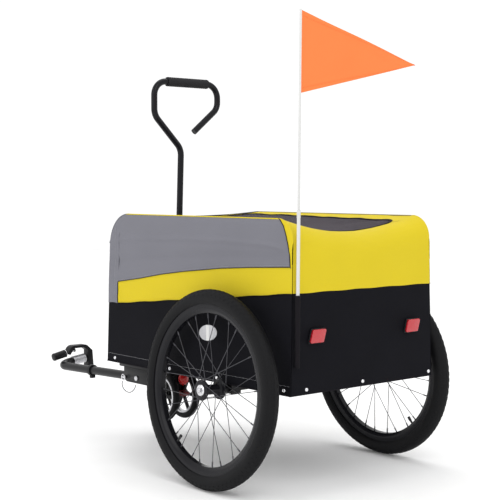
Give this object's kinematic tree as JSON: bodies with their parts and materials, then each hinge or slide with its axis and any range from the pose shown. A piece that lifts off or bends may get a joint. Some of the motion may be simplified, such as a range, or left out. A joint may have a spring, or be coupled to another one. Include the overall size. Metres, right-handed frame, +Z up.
{
  "type": "bicycle cargo trailer and hand cart",
  "caption": "Two-wheel fabric cargo trailer for a bicycle, with side drawbar and spring hitch, steering castor with pull handle, a lift-up cover with net window, and safety pennant.",
  "frame": {"origin": "on the ground under the middle of the trailer, halfway between its rearmost and foremost points, on the middle plane of its two large wheels", "axes": "+X forwards to the bicycle, +Y to the left, +Z up"},
  "size_m": [1.1663, 0.6862, 1.171],
  "materials": {
    "black_paint": "satin black powder coat",
    "black_cloth": "coated woven fabric",
    "yellow_cloth": "coated woven fabric",
    "grey_cloth": "coated woven fabric",
    "mesh_cloth": "fine dark net",
    "orange_cloth": "light warning cloth",
    "black_plastic": "moulded",
    "red_plastic": "moulded, glossy",
    "red_lens": "prismatic",
    "clear_lens": "prismatic",
    "tyre_rubber": "matt",
    "rubber": "matt",
    "foam": "closed-cell foam",
    "steel": "bright",
    "zinc": "zinc plated",
    "fibreglass": "translucent rod"
  },
  "bodies": {
    "trailer": {"base_frame": "black_paint", "floor_panel": "black_plastic", "axle_tube": "black_paint", "left_axle_bracket": "black_paint", "right_axle_bracket": "black_paint", "left_hoop": "black_paint", "right_hoop": "black_paint", "front_top_bar": "black_paint", "left_panel": "grey_cloth", "right_panel": "grey_cloth", "front_panel": "yellow_cloth", "rear_panel": "yellow_cloth", "flag_pocket": "black_cloth", "left_reflector_base": "black_plastic", "right_reflector_base": "black_plastic", "left_reflector": "red_lens", "right_reflector": "red_lens", "drawbar_receiver": "black_paint", "pivot_bolt": "steel", "castor_bracket": "black_paint", "left_stub_axle": "steel", "right_stub_axle": "steel", "pin_lanyard": "steel"},
    "cover": {"top_cover": "yellow_cloth", "mesh_window": "mesh_cloth"},
    "flag": {"lower_flag_pole": "fibreglass", "upper_flag_pole": "fibreglass", "flag": "orange_cloth"},
    "drawbar": {"drawbar": "black_paint", "strap_clip": "black_plastic", "hitch_spring": "zinc"},
    "lock_pin": {"lock_pin": "steel"},
    "hitch": {"clamp_body": "black_paint"},
    "clamp_pad": {"clamp_pad": "rubber"},
    "clamp_knob": {"clamp_knob": "black_plastic", "clamp_screw": "steel"},
    "castor": {"castor_fork": "black_plastic", "castor_axle": "steel", "handle_pin": "steel"},
    "castor_left_wheel": {"castor_left_wheel": "black_plastic", "castor_left_tyre": "tyre_rubber"},
    "castor_right_wheel": {"castor_right_wheel": "black_plastic", "castor_right_tyre": "tyre_rubber"},
    "castor_brake": {"castor_brake": "red_plastic"},
    "swivel_lock": {"swivel_lock": "red_plastic"},
    "handle": {"handle_tube": "black_paint", "handle_grip": "foam"},
    "left_wheel": {"left_tyre": "tyre_rubber", "left_rim": "black_paint", "left_hub": "black_paint", "left_spoke_reflector": "clear_lens"},
    "right_wheel": {"right_tyre": "tyre_rubber", "right_rim": "black_paint", "right_hub": "black_paint", "right_spoke_reflector": "clear_lens"},
    "left_release_button": {"left_release_button": "steel"},
    "right_release_button": {"right_release_button": "steel"}
  },
  "joints": [
    {"name": "left_wheel_spin", "type": "hinge", "parent": "trailer", "child": "left_wheel", "pos_m": [-0.32575, 0.3065, 0.24966], "axis": [0, 0.9985, 0.055], "continuous": true},
    {"name": "right_wheel_spin", "type": "hinge", "parent": "trailer", "child": "right_wheel", "pos_m": [-0.32575, -0.3065, 0.24966], "axis": [0, -0.9985, 0.055], "continuous": true},
    {"name": "left_button_press", "type": "slide", "parent": "trailer", "child": "left_release_button", "axis": [0, 0.9985, 0.055], "range_m": [-0.003, 0], "stiffness_N_per_m": 600},
    {"name": "right_button_press", "type": "slide", "parent": "trailer", "child": "right_release_button", "axis": [0, -0.9985, 0.055], "range_m": [-0.003, 0], "stiffness_N_per_m": 600},
    {"name": "castor_swivel", "type": "hinge", "parent": "trailer", "child": "castor", "pos_m": [0.23225, -0.012, 0.234], "axis": [0, 0, 1], "range_deg": [-90, 90]},
    {"name": "castor_left_spin", "type": "hinge", "parent": "castor", "child": "castor_left_wheel", "pos_m": [0.25225, 0.026, 0.125], "axis": [0, 1, 0], "continuous": true},
    {"name": "castor_right_spin", "type": "hinge", "parent": "castor", "child": "castor_right_wheel", "pos_m": [0.25225, -0.05, 0.125], "axis": [0, 1, 0], "continuous": true},
    {"name": "castor_brake_press", "type": "hinge", "parent": "castor", "child": "castor_brake", "pos_m": [0.22025, -0.012, 0.133], "axis": [0, -1, 0], "range_deg": [0, 18]},
    {"name": "swivel_lock_pull", "type": "slide", "parent": "castor", "child": "swivel_lock", "axis": [-1, 0, 0], "range_m": [0, 0.007], "stiffness_N_per_m": 300},
    {"name": "handle_tilt", "type": "hinge", "parent": "castor", "child": "handle", "pos_m": [0.23225, -0.012, 0.315], "axis": [0, 1, 0], "range_deg": [0, 75]},
    {"name": "drawbar_fold", "type": "hinge", "parent": "trailer", "child": "drawbar", "pos_m": [0.11625, 0.2, 0.214], "axis": [0, 1, 0], "range_deg": [0, 176]},
    {"name": "hitch_flex", "type": "hinge", "parent": "drawbar", "child": "hitch", "pos_m": [0.56935, 0.12375, 0.2089], "axis": [0, 0, 1], "range_deg": [-25, 25], "stiffness_Nm_per_rad": 15, "deforming": ["hitch_spring"]},
    {"name": "clamp_feed", "type": "slide", "parent": "hitch", "child": "clamp_pad", "axis": [0, -0.9781, 0.2079], "range_m": [-0.008, 0]},
    {"name": "clamp_knob_turn", "type": "hinge", "parent": "clamp_pad", "child": "clamp_knob", "pos_m": [0.56935, 0.16681, 0.2334], "axis": [0, -0.9781, 0.2079], "range_deg": [-2304, 0]},
    {"name": "lock_pin_pull", "type": "slide", "parent": "trailer", "child": "lock_pin", "axis": [0, 1, 0], "range_m": [0, 0.03]},
    {"name": "flag_pole_lift", "type": "slide", "parent": "trailer", "child": "flag", "axis": [0, -0.0112, 0.9999], "range_m": [0, 0.16]},
    {"name": "cover_lift", "type": "hinge", "parent": "trailer", "child": "cover", "pos_m": [-0.50575, 0, 0.682], "axis": [0, -1, 0], "range_deg": [0, 88]}
  ],
  "couplings": [
    {"joint": "clamp_feed", "follows": "clamp_knob_turn", "m_per_rad": 0.00019894}
  ]
}
